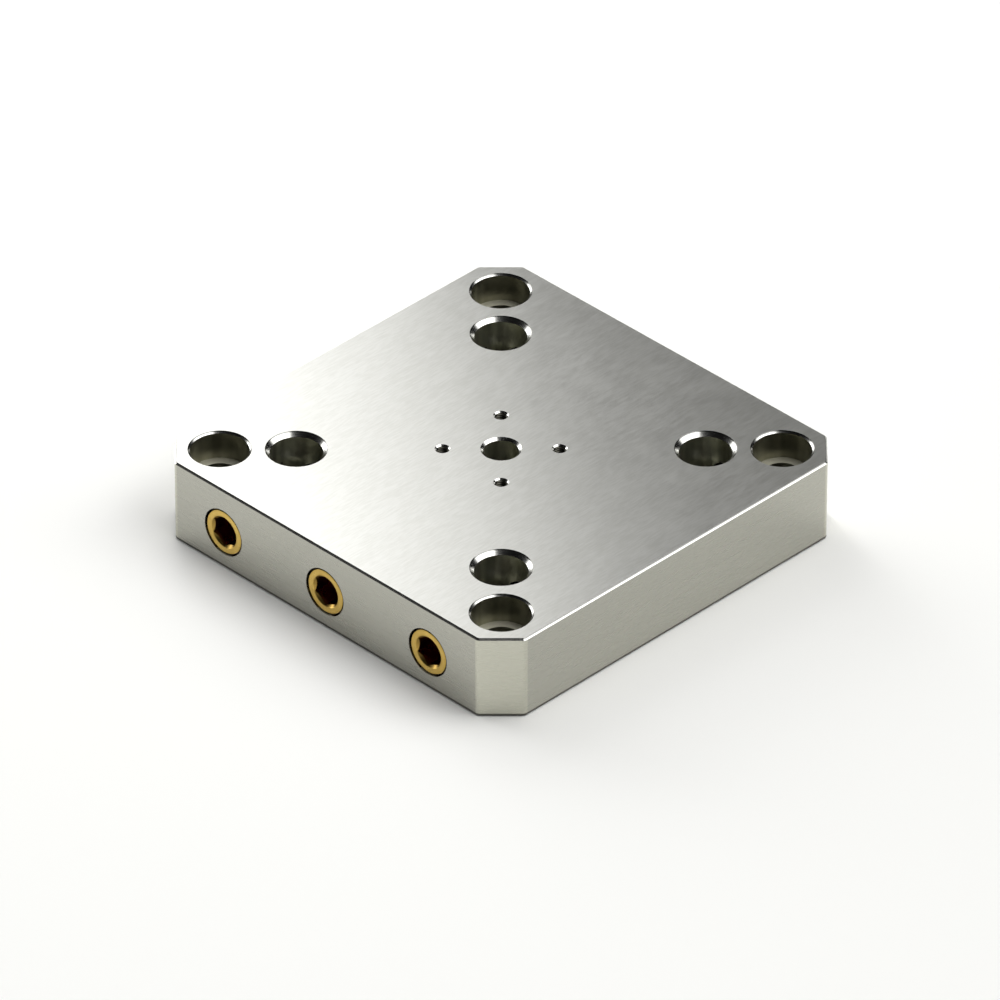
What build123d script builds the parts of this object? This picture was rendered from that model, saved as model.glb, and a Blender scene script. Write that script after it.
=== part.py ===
from build123d import *
import math
import os

# Zero point clamping plate. Millimetres, +Z up, origin at the middle of the underside.
# The operating face, with the three spindles, looks along -Y.
# Pieces are drawn with the rods in the released place, where a stud drops in and lifts out.

# Plate
side = 164.0
thickness = 31.0
corner_cut = 11.0
edge_break = 0.5
rim_break = 0.65  # round the top face

# Stud bores, one at each corner of a square, open at the top
stud_inset = 34.0  # from the sides of the plate, which puts the bores on a 96 mm square
stud_bore_d = 18.0
stud_lead_in = 1.5
seat_gap = 0.3  # between the lower end of a bore's ground seat and the rod bore below it
relief = 0.3  # how much wider all round a bore is below its seat
chip_room = 2.0  # depth of that wider part below the rod bore
drain_d = 11.0  # hole from there to the underside

# Holes for the screws that hold the plate on a machine table
mounting_inset = 16.0  # from the sides of the plate, which puts the holes on a 132 mm square
mounting_hole_d = 13.5
counterbore_d = 20.0
counterbore_depth = 10.5
counterbore_break = 0.7

# Centring bore and the tapped holes round it
centre_bore_d = 12.0
centre_break = 0.9
tapped_spacing = 27.5
tapped_core_d = 4.2
tapped_mouth_d = 5.2
tapped_depth = 12.0

# Tail of the stud that the plate grips: a neck with a round head below it
tail_head_d = 8.0
tail_neck_d = 5.0
tail_gap = 0.3  # room all round the tail

# Drive: the spindle turns in place and screws the lock rod towards the operator
axis_height = 14.0
thread_d = 8.0
thread_pitch = 1.5
turns_to_lock = 4.0
thread_gap = 0.05
thread_run_out = 3.0  # rod's hole beyond the spindle's tip when the rod is drawn in

# Lock rods
rod_d = 12.0
rod_gap = 0.03
rod_end_break = 0.6
rod_end_wall = 3.4  # solid metal behind the last pocket
end_gap = 0.6  # between a rod's end and the plate or washer it comes nearest to
pocket_floor = 2.4  # below the rod's axis
pocket_ceiling = 1.6  # above the rod's axis, where the tail goes in
ramp_angle = 5.0
flat_height = 4.2  # top flat behind the way into each pocket, above the rod's axis
flat_margin = 1.2

# Spindle head, its lands and grooves from the operating face inwards
head_d = 16.8
head_gap = 0.4
head_recess = 0.3
head_break = 0.5
front_land = 2.2
seal_groove = 2.0
middle_land = 2.8
rear_flange = 2.1
seal_groove_depth = 1.2
pin_groove_depth = 3.1
socket_flats = 10.0
socket_depth = 6.5
socket_mouth_d = 11.9
socket_turn = 26.0
axial_play = 0.1
tip_gap = 0.5  # between the spindle's tip and the middle of the first pocket, rod drawn in

# Seal, washer and small fasteners
seal_cord_d = 1.4
washer_thickness = 1.5
washer_gap = 0.2
pin_d = 3.0
pin_length = 22.0
pin_recess = 1.0
pin_seat_gap = 0.02
pin_groove_gap = 0.15
guide_d = 6.0
guide_recess = 1.0
guide_end_gap = 0.5
guide_socket_flats = 3.0
guide_socket_depth = 2.8
dog_d = 4.0
dog_gap = 0.12
dog_slot_depth = 2.2
centre_guide_y = -30.0

# Sizes that follow from those above
front = -side / 2
stud_spacing = side - 2 * stud_inset
mounting_spacing = side - 2 * mounting_inset
half_studs = stud_spacing / 2
travel = turns_to_lock * thread_pitch
rod_bore_d = rod_d + 2 * rod_gap
spindle_bore_d = head_d + 2 * head_gap
seat_floor = axis_height + rod_bore_d / 2 + seat_gap
relief_floor = axis_height - rod_bore_d / 2 - chip_room
pin_groove = pin_d + 2 * pin_groove_gap
head_length = front_land + seal_groove + middle_land + pin_groove + rear_flange
head_end = head_recess + head_length
washer_front = head_end + axial_play
step_depth = washer_front + washer_thickness
rod_front = step_depth + end_gap + travel
spindle_tip = stud_inset - travel - tip_gap
thread_hole = spindle_tip - rod_front + travel + thread_run_out
pin_groove_front = head_recess + front_land + seal_groove + middle_land
pin_y = front + pin_groove_front + pin_groove / 2
pin_offset = head_d / 2 - pin_groove_depth + pin_groove_gap + pin_d / 2
pocket_radius = tail_head_d / 2 + tail_gap
neck_radius = tail_neck_d / 2 + tail_gap
pocket_run = travel + tail_gap
pocket_end = pocket_run + pocket_radius + rod_end_wall

# Each train of spindle, washer and rod: its name, its place across the plate,
# the rows where its rod has a pocket, and the place of its guide screw
trains = [
    ("left", -half_studs, (-half_studs, half_studs), 0.0),
    ("centre", 0.0, (0.0,), centre_guide_y),
    ("right", half_studs, (-half_studs, half_studs), 0.0),
]

os.makedirs("parts", exist_ok=True)


def bore_plane(x, depth=0.0):
    """Plane across a spindle's axis, at a depth behind the operating face, looking inwards."""
    return Plane(origin=(x, front + depth, axis_height), x_dir=(1, 0, 0), z_dir=(0, 1, 0))


def lathe_plane(x):
    """Plane along a spindle's axis: its X is the depth behind the operating face, its Y the radius."""
    return Plane(origin=(x, front, axis_height), x_dir=(0, 1, 0), z_dir=(1, 0, 0))


def spindle_axis(x):
    return Axis((x, front, axis_height), (0, 1, 0))


def save(piece, name):
    piece.part.label = name
    export_step(piece.part, f"parts/{name}.step")


# Bores that take a stud or a centring pin: their places, diameter and chamfer at the mouth
seats = [
    (GridLocations(stud_spacing, stud_spacing, 2, 2), stud_bore_d, stud_lead_in),
    (Locations((0, 0)), centre_bore_d, centre_break),
]

# Plate: the block, its upright bores, then the bores of each train
with BuildPart() as plate:
    with BuildSketch(Plane.XY):
        Rectangle(side, side)
        chamfer(vertices(), corner_cut)
    extrude(amount=thickness)
    chamfer(edges().filter_by(Axis.Z), edge_break)
    chamfer(edges().group_by(Axis.Z)[0], edge_break)
    chamfer(edges().group_by(Axis.Z)[-1], rim_break)

    # Each bore has a ground seat at the top, a wider room below it and a drain
    for places, seat_d, mouth_chamfer in seats:
        with BuildSketch(Plane.XY.offset(seat_floor)):
            with places:
                Circle(seat_d / 2)
        extrude(amount=thickness - seat_floor, mode=Mode.SUBTRACT)
        chamfer(edges(Select.LAST).group_by(Axis.Z)[-1], mouth_chamfer)
        with BuildSketch(Plane.XY.offset(relief_floor)):
            with places:
                Circle(seat_d / 2 + relief)
        extrude(amount=seat_floor - relief_floor, mode=Mode.SUBTRACT)
        with BuildSketch(Plane.XY):
            with places:
                Circle(drain_d / 2)
        extrude(amount=relief_floor, mode=Mode.SUBTRACT)

    with BuildSketch(Plane.XY):
        with GridLocations(mounting_spacing, mounting_spacing, 2, 2):
            Circle(mounting_hole_d / 2)
    extrude(amount=thickness, mode=Mode.SUBTRACT)
    with BuildSketch(Plane.XY.offset(thickness - counterbore_depth)):
        with GridLocations(mounting_spacing, mounting_spacing, 2, 2):
            Circle(counterbore_d / 2)
    extrude(amount=counterbore_depth, mode=Mode.SUBTRACT)
    chamfer(edges(Select.LAST).group_by(Axis.Z)[-1], counterbore_break)

    with Locations(Plane.XY.offset(thickness)):
        with GridLocations(tapped_spacing, tapped_spacing, 2, 2):
            CounterSinkHole(tapped_core_d / 2, tapped_mouth_d / 2, tapped_depth, 90)

    for name, x, rows, guide_y in trains:
        with BuildSketch(bore_plane(x)):
            Circle(spindle_bore_d / 2)
        extrude(amount=step_depth, mode=Mode.SUBTRACT)
        with BuildSketch(bore_plane(x, step_depth)):
            Circle(rod_bore_d / 2)
        extrude(amount=rows[-1] + pocket_end + end_gap - front - step_depth, mode=Mode.SUBTRACT)

        # Dowel holes beside the spindle's groove, from the underside
        with BuildSketch(Plane.XY):
            with Locations((x - pin_offset, pin_y), (x + pin_offset, pin_y)):
                Circle(pin_d / 2 + pin_seat_gap)
        extrude(amount=pin_recess + pin_length + pin_seat_gap, mode=Mode.SUBTRACT)

        # Tapped hole of the guide screw, from the underside into the rod bore
        with BuildSketch(Plane.XY):
            with Locations((x, guide_y)):
                Circle(guide_d / 2 + thread_gap)
        extrude(amount=axis_height, mode=Mode.SUBTRACT)
save(plate, "clamping_plate")


# Keyhole pocket, drawn on the rod's axis below the stud: a round way in for the tail's head,
# and behind it a narrow slot for the neck over a wide one for the head. The wide slot's
# ceiling slants down, so the rod draws the stud down as it moves.
with BuildPart() as pocket:
    with BuildSketch(Plane.XY.offset(-pocket_floor)):
        with Locations((0, pocket_run / 2)):
            SlotCenterToCenter(pocket_run, 2 * pocket_radius, rotation=90)
    extrude(amount=pocket_floor + rod_d / 2)
    ramp = math.tan(math.radians(ramp_angle))
    split(bisect_by=Plane(origin=(0, 0, pocket_ceiling), z_dir=(0, ramp, 1)), keep=Keep.BOTTOM)
    with BuildSketch(Plane.XY.offset(-pocket_floor)):
        Circle(pocket_radius)
        with Locations((0, pocket_run / 2)):
            SlotCenterToCenter(pocket_run, 2 * neck_radius, rotation=90)
    extrude(amount=pocket_floor + rod_d / 2)


for name, x, rows, guide_y in trains:
    # Spindle: a turned profile, then the hexagon socket with its conical mouth
    seal_front = head_recess + front_land
    seal_end = seal_front + seal_groove
    pin_groove_end = pin_groove_front + pin_groove
    head_r = head_d / 2
    seal_r = head_r - seal_groove_depth
    pin_r = head_r - pin_groove_depth
    thread_r = thread_d / 2
    with BuildPart() as spindle:
        with BuildSketch(lathe_plane(x)):
            with BuildLine():
                Polyline(
                    (head_recess, 0),
                    (head_recess, head_r - head_break),
                    (head_recess + head_break, head_r),
                    (seal_front, head_r),
                    (seal_front, seal_r),
                    (seal_end, seal_r),
                    (seal_end, head_r),
                    (pin_groove_front, head_r),
                    (pin_groove_front, pin_r),
                    (pin_groove_end, pin_r),
                    (pin_groove_end, head_r),
                    (head_end, head_r),
                    (head_end, thread_r),
                    (spindle_tip - thread_pitch / 2, thread_r),
                    (spindle_tip, thread_r - thread_pitch / 2),
                    (spindle_tip, 0),
                    close=True,
                )
            make_face()
        revolve(axis=spindle_axis(x))
        with BuildSketch(bore_plane(x, head_recess)):
            RegularPolygon(socket_flats / 2, 6, major_radius=False, rotation=-socket_turn)
        extrude(amount=socket_depth, mode=Mode.SUBTRACT)
        with BuildSketch(lathe_plane(x)):
            with BuildLine():
                Polyline(
                    (head_recess, 0),
                    (head_recess, socket_mouth_d / 2),
                    (head_recess + socket_mouth_d / 2, 0),
                    close=True,
                )
            make_face()
        revolve(axis=spindle_axis(x), mode=Mode.SUBTRACT)
    save(spindle, f"spindle_{name}")

    # Seal: a cord ring in the spindle's front groove
    with BuildPart() as seal:
        with BuildSketch(lathe_plane(x)):
            with Locations(((seal_front + seal_end) / 2, seal_r + thread_gap + seal_cord_d / 2)):
                Circle(seal_cord_d / 2)
        revolve(axis=spindle_axis(x))
    save(seal, f"spindle_seal_{name}")

    # Thrust washer, on the step where the spindle bore narrows to the rod bore
    with BuildPart() as washer:
        with BuildSketch(bore_plane(x, washer_front)):
            Circle(spindle_bore_d / 2 - washer_gap)
            Circle(thread_r + washer_gap, mode=Mode.SUBTRACT)
        extrude(amount=washer_thickness)
    save(washer, f"thrust_washer_{name}")

    # Lock rod: threaded for the spindle, with a pocket under each stud and a guide slot below
    rod_back = rows[-1] + pocket_end
    with BuildPart() as rod:
        with BuildSketch(bore_plane(x, rod_front)):
            Circle(rod_d / 2)
        extrude(amount=rod_back - front - rod_front)
        chamfer(edges(), rod_end_break)
        # Threaded hole, which goes no further than the middle of the first pocket
        with BuildSketch(bore_plane(x, rod_front)):
            Circle(thread_r + thread_gap)
        extrude(amount=min(thread_hole, rows[0] - front - rod_front), mode=Mode.SUBTRACT)
        for row in rows:
            with BuildSketch(Plane.XY.offset(axis_height + flat_height)):
                with Locations((x, row)):
                    flat_length = pocket_run + pocket_radius + flat_margin
                    Rectangle(rod_d, flat_length, align=(Align.CENTER, Align.MIN))
            extrude(amount=rod_d / 2, mode=Mode.SUBTRACT)
            with Locations((x, row, axis_height)):
                add(pocket.part, mode=Mode.SUBTRACT)
        with BuildSketch(Plane.XY.offset(axis_height - rod_d / 2)):
            with Locations((x, guide_y + travel / 2)):
                SlotCenterToCenter(travel + 2 * dog_gap, dog_d + 2 * dog_gap, rotation=90)
        extrude(amount=dog_slot_depth, mode=Mode.SUBTRACT)
    save(rod, f"lock_rod_{name}")

    # Retaining pins: upright dowels that pass through the spindle's rear groove
    for letter, offset in (("a", -pin_offset), ("b", pin_offset)):
        with BuildPart() as pin:
            with BuildSketch(Plane.XY.offset(pin_recess)):
                with Locations((x + offset, pin_y)):
                    Circle(pin_d / 2)
            extrude(amount=pin_length)
            chamfer(edges(), pin_d / 8)
        save(pin, f"retaining_pin_{name}_{letter}")

    # Guide screw: a grub screw whose dog point stands in the rod's slot
    body_top = axis_height - rod_bore_d / 2 - guide_end_gap
    dog_top = axis_height - rod_d / 2 + dog_slot_depth - dog_gap
    with BuildPart() as guide:
        with BuildSketch(Plane.XY.offset(guide_recess)):
            with Locations((x, guide_y)):
                Circle(guide_d / 2)
        extrude(amount=body_top - guide_recess)
        chamfer(edges(), guide_end_gap)
        with BuildSketch(Plane.XY.offset(guide_recess)):
            with Locations((x, guide_y)):
                Circle(dog_d / 2)
        extrude(amount=dog_top - guide_recess)
        with BuildSketch(Plane.XY.offset(guide_recess)):
            with Locations((x, guide_y)):
                RegularPolygon(guide_socket_flats / 2, 6, major_radius=False)
        extrude(amount=guide_socket_depth, mode=Mode.SUBTRACT)
    save(guide, f"guide_screw_{name}")
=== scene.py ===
# %% [markdown]
# # A zero point clamping plate, dressed for its picture
#
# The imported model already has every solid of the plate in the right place. This lesson
# loads that model as a frame, gives each piece of metal its own finish, adds the small
# threads that a solid model leaves out, and sets up the camera and the studio.
# Blender works in metres, so each size below is in metres unless it says otherwise.

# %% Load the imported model
import math

import bmesh
import bpy
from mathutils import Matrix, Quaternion, Vector


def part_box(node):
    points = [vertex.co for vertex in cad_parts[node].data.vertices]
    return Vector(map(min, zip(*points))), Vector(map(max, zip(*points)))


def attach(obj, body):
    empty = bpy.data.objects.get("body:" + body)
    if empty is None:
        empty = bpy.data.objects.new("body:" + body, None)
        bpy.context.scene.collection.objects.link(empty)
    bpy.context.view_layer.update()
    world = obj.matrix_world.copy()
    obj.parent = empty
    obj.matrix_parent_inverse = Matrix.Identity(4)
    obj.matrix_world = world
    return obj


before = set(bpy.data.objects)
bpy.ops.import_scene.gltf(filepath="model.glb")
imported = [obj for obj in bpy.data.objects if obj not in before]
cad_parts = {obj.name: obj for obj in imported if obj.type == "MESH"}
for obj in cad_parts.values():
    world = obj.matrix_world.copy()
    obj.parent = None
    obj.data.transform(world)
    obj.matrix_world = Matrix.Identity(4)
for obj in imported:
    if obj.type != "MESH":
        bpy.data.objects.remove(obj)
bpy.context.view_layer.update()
plate_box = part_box("clamping_plate")
mm = 0.001
trains = ("left", "centre", "right")
print("plate, in mm:", [round((b - a) / mm, 2) for a, b in zip(*plate_box)])

# %% [markdown]
# ## The camera
#
# The picture was taken with a long lens from far away, because the far edges of the plate
# are hardly shorter than the near ones. A long focal length at a large distance gives the
# same look. The camera looks along one diagonal of the plate and down on it. It could be
# placed by its coordinates, but two angles and a distance are easier to read and to change.

# %% Place the camera
view_azimuth = math.radians(44.94)
view_elevation = math.radians(35.11)
view_distance = 4.116
aim_right = -0.00035
aim_up = 0.00833
back = Vector((
    math.sin(view_azimuth) * math.cos(view_elevation),
    -math.cos(view_azimuth) * math.cos(view_elevation),
    math.sin(view_elevation),
))
picture_right = Vector((math.cos(view_azimuth), math.sin(view_azimuth), 0.0))
picture_up = back.cross(picture_right)
aim = picture_right * aim_right + picture_up * aim_up

camera = bpy.data.objects.new("camera", bpy.data.cameras.new("camera"))
bpy.context.scene.collection.objects.link(camera)
camera.data.lens = 444.8
camera.data.sensor_width = 36.0
camera.data.clip_start = 0.1
camera.data.clip_end = 60.0
camera.location = aim + back * view_distance
camera.rotation_mode = "QUATERNION"
camera.rotation_quaternion = (-back).to_track_quat("-Z", "Y")
bpy.context.scene.camera = camera
bpy.context.scene.view_settings.view_transform = "Standard"
print("camera at", [round(v, 3) for v in camera.location])

# %% [markdown]
# ## Small helpers for shader nodes
#
# A material is a graph of nodes. Building one in a script is mostly a matter of making a
# node, setting its values and linking it. These helpers keep each step to one line, so
# that the finish itself stays readable. A value may be a number, a tuple or the output
# of another node.

# %% Node helpers
def node(tree, kind, values=None, **settings):
    """A new node with its settings, and with its inputs set or linked."""
    made = tree.nodes.new(kind)
    for name, value in settings.items():
        setattr(made, name, value)
    for key, value in (values or {}).items():
        if isinstance(value, bpy.types.NodeSocket):
            tree.links.new(value, made.inputs[key])
        else:
            made.inputs[key].default_value = value
    return made


def calc(tree, operation, a, b=0.0, c=0.0):
    return node(tree, "ShaderNodeMath", {0: a, 1: b, 2: c}, operation=operation).outputs[0]


def ramp(tree, value, low, high, out_low=0.0, out_high=1.0):
    """Value between low and high, spread smoothly from out_low to out_high."""
    values = {"Value": value, "From Min": low, "From Max": high,
              "To Min": out_low, "To Max": out_high}
    made = node(tree, "ShaderNodeMapRange", values, interpolation_type="SMOOTHSTEP")
    return made.outputs["Result"]


def blend_value(tree, mask, a, b):
    """The number a where the mask is zero, and b where it is one."""
    return node(tree, "ShaderNodeMix", {"Factor": mask, "A": a, "B": b}).outputs["Result"]


def blend_colour(tree, mask, a, b):
    """The same for colours, which are the Mix node's inputs 6 and 7."""
    return node(tree, "ShaderNodeMix", {0: mask, 6: a, 7: b}, data_type="RGBA").outputs[2]


# %% Helpers for node groups
def node_group(name, inputs, outputs):
    """An empty shader group with named sockets, and its input and output nodes."""
    group = bpy.data.node_groups.new(name, "ShaderNodeTree")
    kinds = {"value": "NodeSocketFloat", "vector": "NodeSocketVector"}
    for title, kind, default in inputs:
        socket = group.interface.new_socket(title, in_out="INPUT", socket_type=kinds[kind])
        if default is not None:
            socket.default_value = default
    for title, kind in outputs:
        group.interface.new_socket(title, in_out="OUTPUT", socket_type=kinds[kind])
    return group, group.nodes.new("NodeGroupInput"), group.nodes.new("NodeGroupOutput")


def use_group(tree, group, values):
    return node(tree, "ShaderNodeGroup", values, node_tree=group).outputs


# %% [markdown]
# ## Tool marks
#
# Every cut surface keeps the marks of its tool. A surface grinder leaves fine straight
# scratches, a boring bar and a lathe leave fine rings. Both are the same thing for a
# shader: noise that is stretched a lot along the direction of the cut. One group makes
# such noise from a position in millimetres, once coarse and once fine, and puts out a
# height for a Bump node and a mask that shifts colour and gloss. The direction is chosen
# by how far each axis is scaled before it goes in. A picture of scratches could be laid
# over the metal too, but it would show seams at the edges, and noise has none.

# %% Group: tool_marks
tool_marks, taken, given = node_group(
    "tool_marks",
    [("Position", "vector", None), ("Stretch", "vector", (1.0, 1.0, 1.0)),
     ("Fineness", "value", 6.0)],
    [("Height", "value"), ("Mask", "value")],
)
coarse_scale_share = 0.22
coarse_height_share = 0.25
mask_starts, mask_full = 0.42, 0.82
stretched = node(tool_marks, "ShaderNodeVectorMath",
                 {0: taken.outputs["Position"], 1: taken.outputs["Stretch"]},
                 operation="MULTIPLY").outputs[0]
fineness = taken.outputs["Fineness"]
fine = node(tool_marks, "ShaderNodeTexNoise",
            {"Vector": stretched, "Scale": fineness, "Detail": 3.0, "Roughness": 0.6})
coarse_scale = calc(tool_marks, "MULTIPLY", fineness, coarse_scale_share)
coarse = node(tool_marks, "ShaderNodeTexNoise",
              {"Vector": stretched, "Scale": coarse_scale, "Detail": 2.0, "Roughness": 0.5})
height = calc(tool_marks, "MULTIPLY_ADD",
              coarse.outputs["Fac"], coarse_height_share, fine.outputs["Fac"])
mask = ramp(tool_marks, height, mask_starts, mask_full)
tool_marks.links.new(height, given.inputs["Height"])
tool_marks.links.new(mask, given.inputs["Mask"])
print("group", tool_marks.name, "has", len(tool_marks.nodes), "nodes")

# %% [markdown]
# ## Handling marks
#
# Metal that has been touched is never equally glossy all over. A faint film of oil and
# the haze of a wiping cloth change the gloss in soft patches, and a few hair scratches
# cross the grain. This group makes both from the position. Every finish here takes the
# haze, and the plate takes the scratches too.

# %% Group: handling_marks
handling_marks, taken, given = node_group(
    "handling_marks",
    [("Position", "vector", None), ("Patch size", "value", 18.0)],
    [("Haze", "value"), ("Hair scratches", "value")],
)
haze_starts, haze_full = 0.35, 0.70
scratch_starts, scratch_full = 0.69, 0.76
scratch_angle = 0.9
place = taken.outputs["Position"]
patch_scale = calc(handling_marks, "DIVIDE", 1.0, taken.outputs["Patch size"])
patches = node(handling_marks, "ShaderNodeTexNoise",
               {"Vector": place, "Scale": patch_scale, "Detail": 3.0, "Roughness": 0.55})
haze = ramp(handling_marks, patches.outputs["Fac"], haze_starts, haze_full)
turned = node(handling_marks, "ShaderNodeMapping",
              {"Vector": place, "Rotation": (0.0, 0.0, scratch_angle),
               "Scale": (0.02, 0.9, 0.3)}).outputs[0]
hairs = node(handling_marks, "ShaderNodeTexNoise",
             {"Vector": turned, "Scale": 2.2, "Detail": 4.0, "Roughness": 0.75})
scratches = ramp(handling_marks, hairs.outputs["Fac"], scratch_starts, scratch_full)
handling_marks.links.new(haze, given.inputs["Haze"])
handling_marks.links.new(scratches, given.inputs["Hair scratches"])
print("group", handling_marks.name, "has", len(handling_marks.nodes), "nodes")

# %% [markdown]
# ## Start of a finish
#
# All the finishes start in the same way: a Principled BSDF with its metallic value at one,
# and the position on the piece in millimetres. The position comes from the object, not
# from the world, so that the marks turn with a spindle. Every finish ends with a Bump node,
# which tilts the light on the surface as fine marks would, without any new faces.

# %% Helpers for a finish
def start_metal(name):
    material = bpy.data.materials.new(name)
    material.use_nodes = True
    tree = material.node_tree
    shader = tree.nodes["Principled BSDF"]
    shader.inputs["Metallic"].default_value = 1.0
    place = node(tree, "ShaderNodeTexCoord").outputs["Object"]
    position = node(tree, "ShaderNodeVectorMath", {0: place, "Scale": 1 / mm},
                    operation="SCALE").outputs[0]
    return material, tree, shader, position


def bump(tree, shader, height, depth_mm):
    made = node(tree, "ShaderNodeBump", {"Height": height, "Distance": depth_mm * mm})
    tree.links.new(made.outputs["Normal"], shader.inputs["Normal"])


# %% [markdown]
# ## The plate's steel: which surface is it?
#
# The plate is one solid with five kinds of surface: the ground faces, the milled sides,
# the bored holes, their turned chamfers and the counterbores' floors. A material for each
# kind could be given to picked faces, but they would have to be picked again each time
# that the plate changes. Here the shader tells the kinds apart by which way the surface
# looks and by where it is. The result is one mask for each kind: one on that surface, and
# zero everywhere else. Masks are multiplied where all of them have to hold.

# %% Measures of the plate, in mm
half_side = (plate_box[1][0] - plate_box[0][0]) / 2 / mm
plate_top = plate_box[1][2] / mm
operating_face = plate_box[0][1] / mm
corner_cut = 11.0
cut_edge = 2 * half_side - corner_cut
# How far out from the middle, along x or y, the groups of holes begin.
tapped_from, tapped_to = 9.0, 18.0
large_bores_from = 20.0
counterbores_from = 57.0
print("half the side:", round(half_side, 2), "mm, top at", round(plate_top, 2), "mm")


# %% Helpers for masks
def all_of(tree, mask, *others):
    """One where every mask is one."""
    for other in others:
        mask = calc(tree, "MULTIPLY", mask, other)
    return mask


def rest_of(tree, mask):
    """One where the mask is zero."""
    return calc(tree, "SUBTRACT", 1.0, mask)


def between(tree, value, low, high):
    above = calc(tree, "GREATER_THAN", value, low)
    return all_of(tree, above, calc(tree, "LESS_THAN", value, high))


# %% Material: ground_steel, the kinds of surface
ground_steel, tree, shader, position = start_metal("ground_steel")
at = node(tree, "ShaderNodeSeparateXYZ", {0: position}).outputs
normal = node(tree, "ShaderNodeTexCoord").outputs["Normal"]
looks = node(tree, "ShaderNodeSeparateXYZ", {0: normal}).outputs
level = calc(tree, "ABSOLUTE", looks[2])
across_x = calc(tree, "ABSOLUTE", at[0])
across_y = calc(tree, "ABSOLUTE", at[1])
outermost = calc(tree, "MAXIMUM", across_x, across_y)
diagonal = calc(tree, "ADD", across_x, across_y)

flat_starts, flat_full = 0.90, 0.98
slant_starts, slant_full = 0.15, 0.40
side_starts, side_full = half_side - 0.8, half_side - 0.6
cut_starts, cut_full = cut_edge - 1.2, cut_edge - 0.9
sunk_by = 1.0
flat = ramp(tree, level, flat_starts, flat_full)
slanted = all_of(tree, ramp(tree, level, slant_starts, slant_full),
                 ramp(tree, level, flat_full, flat_starts))
on_cut = ramp(tree, diagonal, cut_starts, cut_full)
on_side = calc(tree, "MAXIMUM", ramp(tree, outermost, side_starts, side_full), on_cut)
milled = all_of(tree, on_side, rest_of(tree, level))
in_bore = all_of(tree, rest_of(tree, flat), rest_of(tree, on_side))
bored = all_of(tree, in_bore, rest_of(tree, slanted))
sunk = all_of(tree, flat, between(tree, at[2], sunk_by, plate_top - sunk_by))
print("ground_steel:", len(tree.nodes), "nodes tell its surfaces apart")

# %% [markdown]
# ## The plate's steel: colour
#
# The top has the straight scratches of the grinding wheel. Everything else has marks that
# run round it. The milled sides are painted darker than the ground top, as painted shade,
# and the corner cuts a little lighter than the sides, as painted light. The bores' walls
# are painted darker still, with broad upright streaks, light and dark, made by noise that
# is stretched along the bore: partly draw marks and partly painted reflections. The
# counterbores' walls are painted darker than the others, as painted shade. The small tapped
# holes are painted nearly black, a painted shade for the little light that their threads
# let back out.

# %% Material: ground_steel, tool marks
straight = use_group(tree, tool_marks, {
    "Position": position, "Stretch": (1.0, 0.12, 1.0), "Fineness": 1.7})
around = use_group(tree, tool_marks, {
    "Position": position, "Stretch": (0.02, 0.02, 1.0), "Fineness": 4.0})
touched = use_group(tree, handling_marks, {"Position": position, "Patch size": 15.0})
height = blend_value(tree, flat, around["Height"], straight["Height"])
mask = blend_value(tree, flat, around["Mask"], straight["Mask"])
print("ground_steel:", len(tree.nodes), "nodes with its tool marks")

# %% Material: ground_steel, colour of the outside
ground_dark, ground_light = (0.60, 0.60, 0.565, 1.0), (0.66, 0.66, 0.63, 1.0)
# Painted shade and light: the milled sides are coloured darker than the top, the cuts lighter.
painted_shade_side_steel, painted_light_cut_steel = (0.435, 0.43, 0.382, 1.0), (0.53, 0.525, 0.45, 1.0)
steel = blend_colour(tree, mask, ground_dark, ground_light)
painted_milled_steel = blend_colour(tree, on_cut, painted_shade_side_steel, painted_light_cut_steel)
steel = blend_colour(tree, milled, steel, painted_milled_steel)
print("ground_steel:", len(tree.nodes), "nodes with the outside")

# %% Material: ground_steel, colour of the bores
# Painted shade: the bores' walls are coloured darker than the top, the counterbores' darker still.
painted_light_bore_wall, painted_shade_bore_wall = (0.67, 0.67, 0.545, 1.0), (0.38, 0.38, 0.30, 1.0)
painted_light_counterbore_wall, painted_shade_counterbore_wall = (0.31, 0.305, 0.24, 1.0), (0.20, 0.195, 0.15, 1.0)
# Painted shade: the tapped holes' walls are coloured nearly black.
painted_shade_tapped_steel = (0.10, 0.098, 0.08, 1.0)
reflection_streak_starts, reflection_streak_full = 0.35, 0.70
along_bore = node(tree, "ShaderNodeVectorMath", {0: position, 1: (1.0, 1.0, 0.03)},
                  operation="MULTIPLY").outputs[0]
# The streaks are partly draw marks and partly painted reflections, light and dark.
marks_and_reflection_streaks = node(tree, "ShaderNodeTexNoise",
               {"Vector": along_bore, "Scale": 0.24, "Detail": 1.0, "Roughness": 0.5})
mark_and_reflection_streak = ramp(tree, marks_and_reflection_streaks.outputs["Fac"], reflection_streak_starts, reflection_streak_full)
counterbored = calc(tree, "GREATER_THAN", outermost, counterbores_from)
painted_light_wall = blend_colour(tree, counterbored, painted_light_bore_wall, painted_light_counterbore_wall)
painted_shade_wall = blend_colour(tree, counterbored, painted_shade_bore_wall, painted_shade_counterbore_wall)
wall_with_painted_shade = blend_colour(tree, mark_and_reflection_streak, painted_light_wall, painted_shade_wall)
tapped = between(tree, outermost, tapped_from, tapped_to)
wall_with_painted_shade = blend_colour(tree, tapped, wall_with_painted_shade, painted_shade_tapped_steel)
steel = blend_colour(tree, in_bore, steel, wall_with_painted_shade)
print("ground_steel:", len(tree.nodes), "nodes with the bores")
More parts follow.
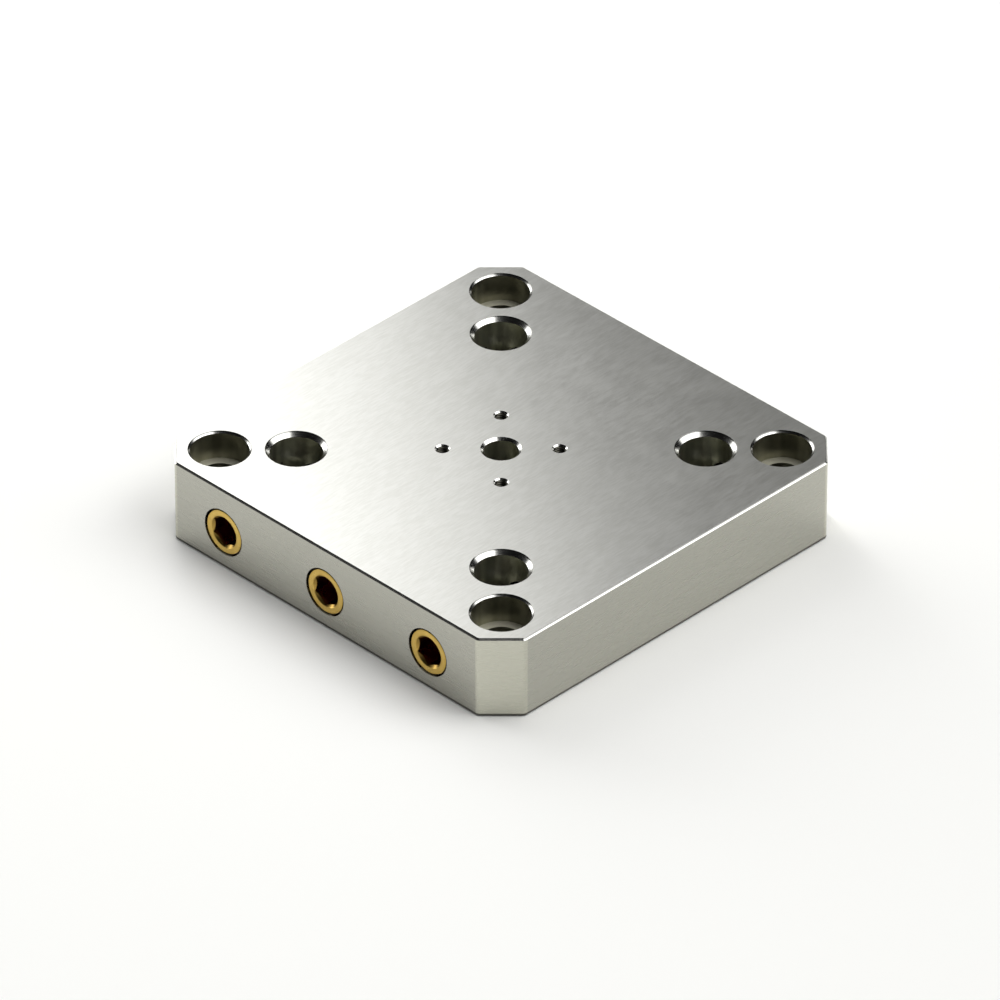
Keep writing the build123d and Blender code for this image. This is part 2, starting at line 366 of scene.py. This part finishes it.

# %% [markdown]
# ## The plate's steel: edges and floors
#
# A turned chamfer is bright. Where it meets the top, the real edge is rounded a little and
# mirrors the dark side of the room, which shows as a thin dark line round the plate and
# round the large bores. The rounding is too fine for the solid, so it is a dark band here.
# A second dark line runs along the foot, where the edge meets its own shadow. The floors
# of the counterbores are cut with the face of the tool, which leaves them matt, and their
# colour is a little yellower than the top's. Each of these is one more mask with its own
# colour.

# %% Material: ground_steel, edges and floors
chamfer_steel = (0.74, 0.74, 0.71, 1.0)
edge_steel = (0.20, 0.20, 0.19, 1.0)
foot_steel = (0.10, 0.098, 0.085, 1.0)
sunk_steel = (0.60, 0.585, 0.49, 1.0)
edge_starts, edge_full = plate_top - 0.34, plate_top - 0.20
foot_starts, foot_full = 1.3, 0.9
edge_line = all_of(tree, slanted, ramp(tree, at[2], edge_starts, edge_full),
                   calc(tree, "GREATER_THAN", outermost, large_bores_from))
foot_line = all_of(tree, on_side, ramp(tree, at[2], foot_starts, foot_full))
steel = blend_colour(tree, slanted, steel, chamfer_steel)
steel = blend_colour(tree, edge_line, steel, edge_steel)
steel = blend_colour(tree, foot_line, steel, foot_steel)
steel = blend_colour(tree, sunk, steel, sunk_steel)
tree.links.new(steel, shader.inputs["Base Color"])
print("ground_steel:", len(tree.nodes), "nodes with its whole colour")

# %% [markdown]
# ## The plate's steel: gloss and relief
#
# Roughness is how far a surface spreads what it mirrors. A turned chamfer is the glossiest
# surface of the plate and a counterbore's floor the most matt. The haze and the tool marks
# add a little to it. The same marks are the relief that the Bump node gets. They are deeper
# in the bores than on the ground top, and hardly there on the sides.

# %% Material: ground_steel, gloss
side_rough, ground_rough = 0.26, 0.28
chamfer_rough, bore_rough, edge_rough, sunk_rough = 0.18, 0.34, 0.24, 0.70
haze_adds, marks_add = 0.011, 0.02
rough = blend_value(tree, flat, side_rough, ground_rough)
rough = blend_value(tree, calc(tree, "MAXIMUM", in_bore, slanted), rough, chamfer_rough)
rough = blend_value(tree, bored, rough, bore_rough)
rough = blend_value(tree, all_of(tree, slanted, on_side), rough, edge_rough)
rough = blend_value(tree, sunk, rough, sunk_rough)
rough = calc(tree, "MULTIPLY_ADD", touched["Haze"], haze_adds, rough)
rough = calc(tree, "MULTIPLY_ADD", mask, marks_add, rough)
tree.links.new(rough, shader.inputs["Roughness"])
print("ground_steel: roughness from", chamfer_rough, "to", sunk_rough)

# %% Material: ground_steel, relief
scratch_height = -0.3
bore_relief, side_relief = 4.0, 0.25
mark_depth_mm = 0.004
height = calc(tree, "MULTIPLY_ADD", touched["Hair scratches"], scratch_height, height)
height = calc(tree, "MULTIPLY", height, blend_value(tree, bored, 1.0, bore_relief))
height = calc(tree, "MULTIPLY", height, blend_value(tree, on_side, 1.0, side_relief))
bump(tree, shader, height, mark_depth_mm)
print("ground_steel:", len(tree.nodes), "nodes in all")

# %% [markdown]
# ## The spindles' aluminium bronze
#
# The three spindles are turned from a golden bronze and left as they come off the lathe.
# Their marks are rings round the spindle's own axis, so the shader first measures how far
# a point is from that axis. Each spindle has its own axis, which is why the material is
# made by a function, once for each of them. The key socket is painted with shade: browner
# at its mouth and dark red further in, for the light that meets several walls inside it and
# takes on their colour each time. The rim of the head is painted dark too, as painted shade
# for the narrow gap to the plate.

# %% Measures and colours of a spindle, in mm
bronze_dark, bronze_light = (0.62, 0.42, 0.10, 1.0), (0.72, 0.50, 0.14, 1.0)
bronze_hazed, haze_share = (0.50, 0.32, 0.075, 1.0), 0.35
# Painted shade: the socket's mouth, its depth and the rim of the head get darker colours.
painted_shade_mouth_bronze, painted_shade_deep_bronze = (0.42, 0.27, 0.065, 1.0), (0.17, 0.03, 0.015, 1.0)
painted_shade_rim_bronze = (0.06, 0.04, 0.015, 1.0)
mouth_radius, rim_radius, soft_edge = 6.0, 8.0, 0.1
mouth_from = operating_face + 0.45
deep_from, deep_full = operating_face + 0.9, operating_face + 3.2
rim_full, rim_to = operating_face + 0.9, operating_face + 1.2
bronze_rough, bronze_haze_adds, bronze_depth_mm = 0.27, 0.10, 0.006
print("a socket's mouth starts at y =", round(mouth_from, 2), "mm")


# %% Material: spindle_bronze
def spindle_bronze(axis_x, axis_z):
    material, tree, shader, position = start_metal("spindle_bronze")
    shift = node(tree, "ShaderNodeVectorMath", {0: position, 1: (axis_x, 0.0, axis_z)},
                 operation="SUBTRACT").outputs[0]
    at = node(tree, "ShaderNodeSeparateXYZ", {0: shift}).outputs
    squares = [calc(tree, "POWER", at[axis], 2.0) for axis in (0, 2)]
    off_axis = calc(tree, "SQRT", calc(tree, "ADD", *squares))
    turned = node(tree, "ShaderNodeCombineXYZ", {0: off_axis, 1: at[1], 2: 0.0}).outputs[0]
    rings = use_group(tree, tool_marks, {
        "Position": turned, "Stretch": (1.0, 1.0, 1.0), "Fineness": 5.0})
    touched = use_group(tree, handling_marks, {"Position": position, "Patch size": 5.0})

    hazed = calc(tree, "MULTIPLY", touched["Haze"], haze_share)
    in_mouth = ramp(tree, off_axis, mouth_radius + soft_edge / 2, mouth_radius - soft_edge / 2)
    shaded_mouth = all_of(tree, in_mouth, calc(tree, "GREATER_THAN", at[1], mouth_from))
    deep_shade = ramp(tree, at[1], deep_from, deep_full)
    shaded_rim = all_of(tree, ramp(tree, off_axis, rim_radius - soft_edge, rim_radius + soft_edge),
                 ramp(tree, at[1], rim_to, rim_full))
    bronze = blend_colour(tree, rings["Mask"], bronze_dark, bronze_light)
    # The haze is real; the last three colours are painted shade in the socket and the gap.
    for mask, colour in ((hazed, bronze_hazed), (shaded_mouth, painted_shade_mouth_bronze),
                         (deep_shade, painted_shade_deep_bronze), (shaded_rim, painted_shade_rim_bronze)):
        bronze = blend_colour(tree, mask, bronze, colour)
    rough = calc(tree, "MULTIPLY_ADD", touched["Haze"], bronze_haze_adds, bronze_rough)
    tree.links.new(bronze, shader.inputs["Base Color"])
    tree.links.new(rough, shader.inputs["Roughness"])
    bump(tree, shader, rings["Height"], bronze_depth_mm)
    return material


# %% [markdown]
# ## Hardened steel and pin steel
#
# The lock rods and washers are hardened and ground, which leaves them darker than the
# plate and glossier. The retaining pins are ground dowels. Both are the same metal to a
# shader, with other values, so one function makes them. They are simpler than the plate,
# because they are mostly hidden.

# %% Materials: hardened_steel and pin_steel
darker_share = 0.8
rod_haze_adds, rod_depth_mm = 0.08, 0.003


def rod_steel(name, colour, roughness, stretch, fineness):
    material, tree, shader, position = start_metal(name)
    marks = use_group(tree, tool_marks, {
        "Position": position, "Stretch": stretch, "Fineness": fineness})
    touched = use_group(tree, handling_marks, {"Position": position, "Patch size": 8.0})
    darker = tuple(darker_share * c for c in colour[:3]) + (1.0,)
    steel = blend_colour(tree, marks["Mask"], darker, colour)
    rough = calc(tree, "MULTIPLY_ADD", touched["Haze"], rod_haze_adds, roughness)
    tree.links.new(steel, shader.inputs["Base Color"])
    tree.links.new(rough, shader.inputs["Roughness"])
    bump(tree, shader, marks["Height"], rod_depth_mm)
    return material


hardened_steel = rod_steel("hardened_steel", (0.40, 0.40, 0.40, 1.0), 0.20, (0.05, 1.0, 0.05), 4.0)
pin_steel = rod_steel("pin_steel", (0.60, 0.60, 0.61, 1.0), 0.16, (0.1, 0.1, 1.0), 6.0)
print("made", hardened_steel.name, "and", pin_steel.name)

# %% [markdown]
# ## Black oxide and rubber
#
# The guide screws have a black oxide skin, and the seals are moulded rubber with a slight
# bloom. Neither shows the mark of a cutting tool. Both are dark skins that get paler and
# more matt in small patches, so the haze does all the work, and one function makes them.
# Rubber is no metal, so its metallic value goes back to zero.

# %% Materials: black_oxide_steel and seal_rubber
skin_depth_mm = 0.01


def dark_skin(name, metallic, patch_size, dark, pale, roughness, haze_adds):
    material, tree, shader, position = start_metal(name)
    shader.inputs["Metallic"].default_value = metallic
    touched = use_group(tree, handling_marks, {"Position": position, "Patch size": patch_size})
    skin = blend_colour(tree, touched["Haze"], dark, pale)
    rough = calc(tree, "MULTIPLY_ADD", touched["Haze"], haze_adds, roughness)
    tree.links.new(skin, shader.inputs["Base Color"])
    tree.links.new(rough, shader.inputs["Roughness"])
    bump(tree, shader, touched["Haze"], skin_depth_mm)
    return material


black_oxide_steel = dark_skin("black_oxide_steel", 1.0, 1.2, (0.035, 0.036, 0.042, 1.0),
                              (0.085, 0.085, 0.09, 1.0), 0.38, 0.2)
seal_rubber = dark_skin("seal_rubber", 0.0, 0.8, (0.012, 0.012, 0.012, 1.0),
                        (0.035, 0.034, 0.032, 1.0), 0.55, 0.15)
print("made", black_oxide_steel.name, "and", seal_rubber.name)

# %% [markdown]
# ## Dress the frame
#
# A solid of the frame keeps its mesh and only gets a better material in its first slot.
# A spindle's axis lies in the middle of its box and 14 mm above the plate's underside.

# %% Give each node its material
def dress(name, material):
    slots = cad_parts[name].data.materials
    slots.clear()
    slots.append(material)


axis_height_mm = 14.0
dress("clamping_plate", ground_steel)
for train in trains:
    low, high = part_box(f"spindle_{train}")
    dress(f"spindle_{train}", spindle_bronze((low[0] + high[0]) / 2 / mm, axis_height_mm))
    dress(f"spindle_seal_{train}", seal_rubber)
    dress(f"thrust_washer_{train}", hardened_steel)
    dress(f"lock_rod_{train}", hardened_steel)
    dress(f"guide_screw_{train}", black_oxide_steel)
    for letter in "ab":
        dress(f"retaining_pin_{train}_{letter}", pin_steel)
print("materials:", sorted(m.name for m in bpy.data.materials))

# %% [markdown]
# ## The threads of the four small holes
#
# The four holes round the centre bore are tapped M5. In the solid model they are plain
# holes of the core diameter, because a thread is too fine to cut there. Here each thread
# is a ridge with a trapezoid profile that winds up the wall of its hole, one pitch for each
# turn. A bump on the wall would do from far away, but a real ridge also breaks the light
# at the hole's mouth. It is a closed mesh: rings of four points, joined by faces, with a
# cap at each end. Its root reaches a little into the wall, so that no gap shows.

# %% Function: a ridge that winds up a hole, sizes in mm
def thread_ridge(name, centre, root_radius, crest_radius, pitch, low, high, steps=28):
    half_root, half_crest = 0.42 * pitch, 0.08 * pitch
    profile = ((root_radius, -half_root), (crest_radius, -half_crest),
               (crest_radius, half_crest), (root_radius, half_root))
    mesh = bmesh.new()
    rings = []
    for step in range(round((high - low) / pitch * steps) + 1):
        turn = math.tau * step / steps
        rise = low + pitch * step / steps
        rings.append([
            mesh.verts.new((
                (centre[0] + radius * math.cos(turn)) * mm,
                (centre[1] + radius * math.sin(turn)) * mm,
                (rise + above) * mm,
            ))
            for radius, above in profile
        ])
    for before, after in zip(rings, rings[1:]):
        for k in range(4):
            mesh.faces.new((before[k], before[(k + 1) % 4], after[(k + 1) % 4], after[k]))
    mesh.faces.new(rings[0][::-1])
    mesh.faces.new(rings[-1])
    bmesh.ops.recalc_face_normals(mesh, faces=mesh.faces)
    made = bpy.data.objects.new(name, bpy.data.meshes.new(name))
    mesh.to_mesh(made.data)
    mesh.free()
    bpy.context.scene.collection.objects.link(made)
    return made


# %% Make the four threads, sizes in mm
tapped_half = 27.5 / 2
core_radius = 4.2 / 2
tapped_depth = 12.0
thread_pitch = 0.8
thread_height = 0.3
root_in_wall = 0.02
end_gap = 1.0
# Painted shade: the threads are coloured nearly black, like the walls of their holes.
painted_shade_thread_steel = rod_steel("painted_shade_thread_steel", (0.09, 0.087, 0.072, 1.0), 0.34, (0.3, 0.3, 1.0), 5.0)
for name, x, y in (("front_left", -1, -1), ("front_right", 1, -1),
                   ("rear_left", -1, 1), ("rear_right", 1, 1)):
    ridge = thread_ridge(
        f"m5_thread_{name}", (x * tapped_half, y * tapped_half),
        core_radius + root_in_wall, core_radius - thread_height, thread_pitch,
        plate_top - tapped_depth + end_gap, plate_top - end_gap)
    ridge.data.materials.append(painted_shade_thread_steel)
    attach(ridge, "plate")
print("thread faces:", len(ridge.data.polygons), "in each of four holes")

# %% [markdown]
# ## The floor
#
# The plate stands on a plain white floor that fills the picture. A matt floor alone would
# come out slightly grey where less light falls, so a small part of its brightness is its
# own, for the rays that see it directly or in a reflection. The shadow stays, because
# nearly all of the brightness is light from the lamps and the room.

# %% Make the floor
floor_half_width = 20.0
floor_below = 0.00002
floor_colour, glow_colour, glow_strength = (0.90, 0.90, 0.885, 1.0), (1.0, 1.0, 0.985, 1.0), 0.03
floor = bpy.data.objects.new("floor", bpy.data.meshes.new("floor"))
bpy.context.scene.collection.objects.link(floor)
sheet = bmesh.new()
bmesh.ops.create_grid(sheet, x_segments=4, y_segments=4, size=floor_half_width)
sheet.to_mesh(floor.data)
sheet.free()
floor.location.z = -floor_below
white_floor = bpy.data.materials.new("white_floor")
white_floor.use_nodes = True
tree = white_floor.node_tree
tree.nodes.clear()
matt = node(tree, "ShaderNodeBsdfDiffuse", {"Color": floor_colour}).outputs[0]
glow = node(tree, "ShaderNodeEmission", {"Color": glow_colour, "Strength": glow_strength})
glowing = node(tree, "ShaderNodeAddShader", {0: matt, 1: glow.outputs[0]}).outputs[0]
path = node(tree, "ShaderNodeLightPath").outputs
mirrored_ray = calc(tree, "MAXIMUM", path["Is Glossy Ray"], path["Is Transmission Ray"])
seen = calc(tree, "MAXIMUM", path["Is Camera Ray"], mirrored_ray)
pick = node(tree, "ShaderNodeMixShader", {0: seen, 1: matt, 2: glowing})
node(tree, "ShaderNodeOutputMaterial", {"Surface": pick.outputs[0]})
floor.data.materials.append(white_floor)
print("floor:", 2 * floor_half_width, "m wide")

# %% [markdown]
# ## The panel behind the plate
#
# Steel is seen by what it reflects. The ground top goes from white at the left to grey at
# the right, although it is flat, because a lamp panel stands close behind it on the left.
# Its reflection ends near the middle of the plate. Two area lamps side by side, the outer
# one brighter, make an edge that fades instead of a hard one. The edge crosses the plate
# at a slant, so both lamps lean to one side.

# %% Make the panel
mirrored = Vector((-back.x, -back.y, back.z))
panel_distance = 0.62
panel_width, panel_height = 0.12, 0.55
panel_lean = Quaternion((0.0, 0.0, 1.0), math.radians(21))
for name, sideways, watts in (("panel_outer", -0.194, 0.65), ("panel_inner", -0.076, 0.27)):
    panel = bpy.data.lights.new(name, "AREA")
    panel.shape = "RECTANGLE"
    panel.size = panel_width
    panel.size_y = panel_height
    panel.energy = watts
    lamp = bpy.data.objects.new(name, panel)
    bpy.context.scene.collection.objects.link(lamp)
    lamp.location = mirrored * panel_distance + picture_right * sideways
    lamp.rotation_mode = "QUATERNION"
    lamp.rotation_quaternion = (-mirrored).to_track_quat("-Z", "Y") @ panel_lean
    print(name, "at", [round(v, 3) for v in lamp.location])

# %% [markdown]
# ## The room
#
# The rest of the light comes from the room. A large soft window on the right, with a low
# one under it, throws the shadow to the left. A small high one beside them lights the
# chamfers of the bores. A window behind on the left has a strong low one under it, and the
# ceiling is bright on the right and overhead. The camera's side stays nearly dark, and
# that draws the dark line along the front edges. Each window is a soft spot on the sky,
# given by its direction and by the angles at which it starts to fade and is gone. A picture
# of a studio could do the same, but these rows are easier to change. They are added up in
# a loop.

# %% The windows of the room, angles in degrees
windows = (
    # azimuth, elevation, full within, gone beyond, strength
    (48, 40, 7, 24, 2.60),    # the large one on the right
    (32, 8, 10, 26, 1.40),    # low on the right
    (5, 50, 7, 17, 2.20),     # small and high on the right
    (45, 70, 10, 35, 2.02),   # ceiling on the right
    (176, 44, 10, 30, 1.25),  # behind on the left
    (177, 7, 14, 30, 4.00),   # low, behind on the left
    (135, 62, 10, 28, 0.42),  # faint, high behind the plate
    (135, 78, 8, 24, 1.12),   # ceiling overhead
    (315, 12, 14, 30, 0.22),  # dim, low behind the camera
)
print(len(windows), "windows")

# %% Make the room
world = bpy.data.worlds.new("room")
bpy.context.scene.world = world
world.use_nodes = True
tree = world.node_tree
direction = node(tree, "ShaderNodeTexCoord").outputs["Generated"]
room = 0.0
for azimuth, elevation, full, gone, strength in windows:
    turn, rise = math.radians(azimuth), math.radians(elevation)
    middle = (math.cos(turn) * math.cos(rise), math.sin(turn) * math.cos(rise), math.sin(rise))
    facing = node(tree, "ShaderNodeVectorMath", {0: direction, 1: middle},
                  operation="DOT_PRODUCT").outputs["Value"]
    edge, core = math.cos(math.radians(gone)), math.cos(math.radians(full))
    room = calc(tree, "ADD", ramp(tree, facing, edge, core, 0.0, strength), room)
background = tree.nodes["Background"]
tree.links.new(room, background.inputs["Strength"])
background.inputs["Color"].default_value = (1.0, 1.0, 0.99, 1.0)
print("room has", len(tree.nodes), "nodes")
